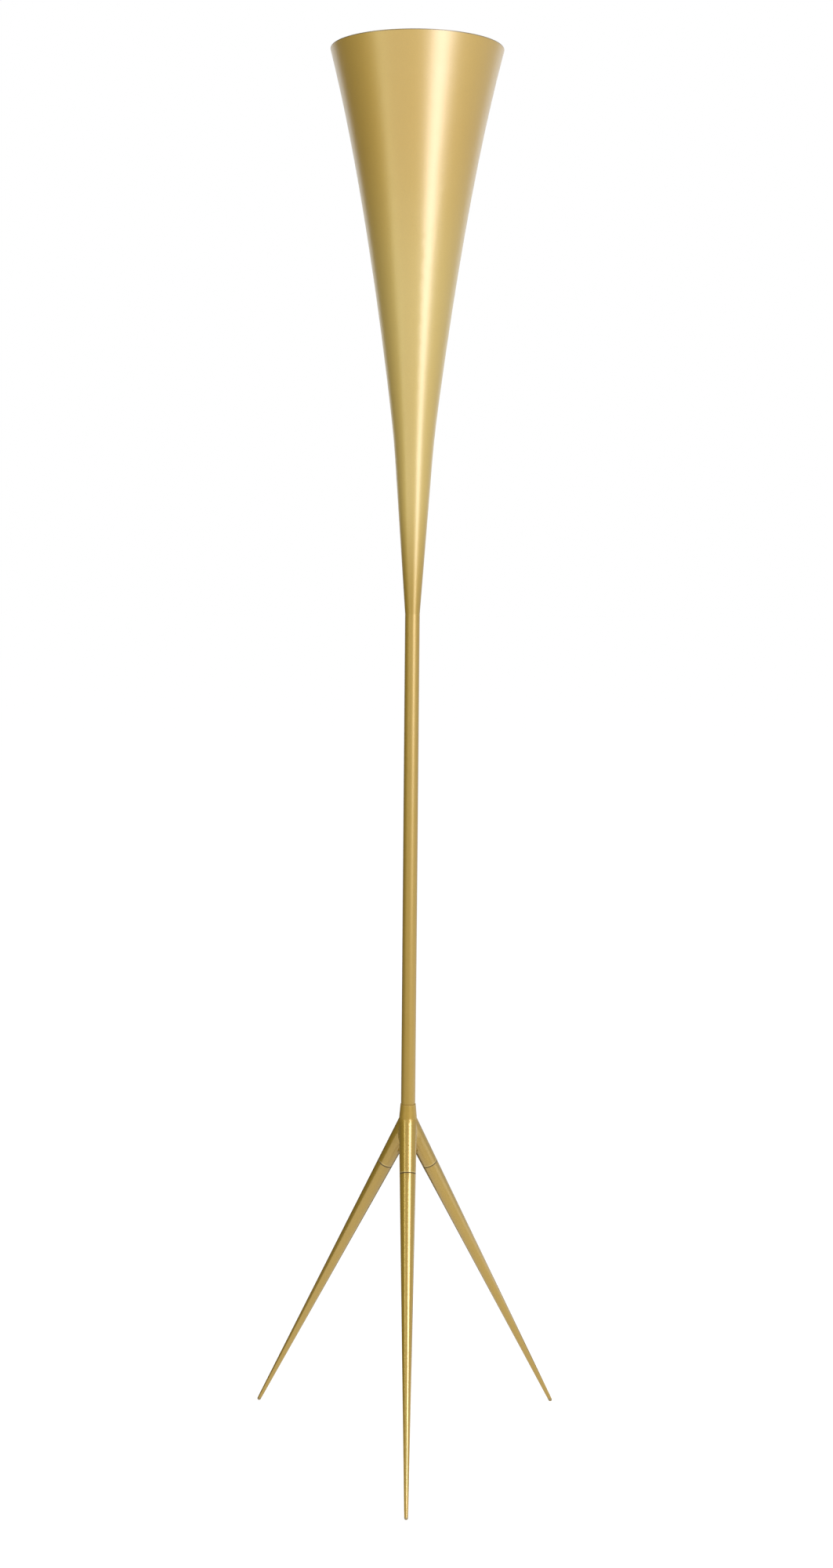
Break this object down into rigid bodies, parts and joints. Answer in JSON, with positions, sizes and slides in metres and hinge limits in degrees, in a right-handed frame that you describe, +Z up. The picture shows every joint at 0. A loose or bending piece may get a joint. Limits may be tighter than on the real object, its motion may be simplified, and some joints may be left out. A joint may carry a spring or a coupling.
{
  "type": "tripod floor lamp",
  "caption": "Slender floor lamp: a trumpet-shaped uplight on a thin pole, standing on a hub with tapered legs that unscrew, and a lampholder and bulb inside the horn.",
  "frame": {"origin": "on the lamp's axis, at floor level", "axes": "+Z up along the pole; the front leg points along -Y, the other two at 30 and 150 degrees"},
  "size_m": [0.44, 0.3817, 1.92],
  "materials": {
    "horn_gold": "satin metallic gold lacquer over spun aluminium",
    "stand_gold": "satin metallic gold lacquer over steel",
    "zinc_steel": "zinc-plated thread",
    "bush_brass": "turned, bare",
    "plate_aluminium": "stamped, matt",
    "cord_rubber": "moulded, matt black",
    "cable_sheath": "black sheath",
    "wire_brown": "brown insulation",
    "wire_blue": "blue insulation",
    "holder_plastic": "moulded, matt black",
    "holder_ivory": "moulded, ivory",
    "contact_brass": "pressed, bare",
    "bulb_metal": "pressed, bright",
    "bulb_insulation": "black glass",
    "bulb_white": "moulded, white",
    "bulb_opal": "opal diffuser",
    "board_green": "solder mask",
    "board_white": "white solder mask",
    "chip_yellow": "phosphor"
  },
  "bodies": {
    "stand": {"horn": "horn_gold", "pole": "stand_gold", "hub": "stand_gold", "hub_nipple": "zinc_steel", "support_rod": "zinc_steel", "plate_washer": "zinc_steel", "rod_nuts": "zinc_steel", "pole_set_screw": "zinc_steel", "pole_bottom_bush": "bush_brass", "pole_top_bush": "bush_brass", "centring_plate": "plate_aluminium", "cord_bushing": "cord_rubber", "inner_cable": "cable_sheath", "wire_live": "wire_brown", "wire_neutral": "wire_blue", "holder_cap": "holder_plastic", "holder_sleeve": "holder_plastic", "holder_core": "holder_ivory", "holder_terminals": "contact_brass", "terminal_screws": "contact_brass", "holder_contact": "contact_brass", "holder_shell": "contact_brass"},
    "stud_front": {"leg_stud_front": "zinc_steel"},
    "leg_front": {"leg_front": "stand_gold", "foot_front": "stand_gold"},
    "stud_left": {"leg_stud_left": "zinc_steel"},
    "leg_left": {"leg_left": "stand_gold", "foot_left": "stand_gold"},
    "stud_right": {"leg_stud_right": "zinc_steel"},
    "leg_right": {"leg_right": "stand_gold", "foot_right": "stand_gold"},
    "bulb_pip": {"bulb_contact": "bulb_metal"},
    "bulb": {"bulb_insulator": "bulb_insulation", "bulb_cap": "bulb_metal", "bulb_housing": "bulb_white", "driver_board": "board_green", "led_board": "board_white", "led_chips": "chip_yellow", "bulb_dome": "bulb_opal"}
  },
  "joints": [
    {"name": "leg_front_travel", "type": "slide", "parent": "stand", "child": "stud_front", "axis": [0, -0.4758, -0.8796], "range_m": [0, 0.0105]},
    {"name": "leg_front_unscrew", "type": "hinge", "parent": "stud_front", "child": "leg_front", "pos_m": [0, 0, 0.466], "axis": [0, -0.4758, -0.8796], "range_deg": [0, 2520]},
    {"name": "leg_left_travel", "type": "slide", "parent": "stand", "child": "stud_left", "axis": [-0.4121, 0.2379, -0.8796], "range_m": [0, 0.0105]},
    {"name": "leg_left_unscrew", "type": "hinge", "parent": "stud_left", "child": "leg_left", "pos_m": [0, 0, 0.466], "axis": [-0.4121, 0.2379, -0.8796], "range_deg": [0, 2520]},
    {"name": "leg_right_travel", "type": "slide", "parent": "stand", "child": "stud_right", "axis": [0.4121, 0.2379, -0.8796], "range_m": [0, 0.0105]},
    {"name": "leg_right_unscrew", "type": "hinge", "parent": "stud_right", "child": "leg_right", "pos_m": [0, 0, 0.466], "axis": [0.4121, 0.2379, -0.8796], "range_deg": [0, 2520]},
    {"name": "bulb_travel", "type": "slide", "parent": "stand", "child": "bulb_pip", "axis": [0, 0, 1], "range_m": [0, 0.01089]},
    {"name": "bulb_unscrew", "type": "hinge", "parent": "bulb_pip", "child": "bulb", "pos_m": [0, 0, 1.74194], "axis": [0, 0, 1], "range_deg": [0, 1080]}
  ],
  "couplings": [
    {"joint": "leg_front_unscrew", "follows": "leg_front_travel", "rad_per_m": 4188.8},
    {"joint": "leg_left_unscrew", "follows": "leg_left_travel", "rad_per_m": 4188.8},
    {"joint": "leg_right_unscrew", "follows": "leg_right_travel", "rad_per_m": 4188.8},
    {"joint": "bulb_unscrew", "follows": "bulb_travel", "rad_per_m": 1731.4}
  ]
}
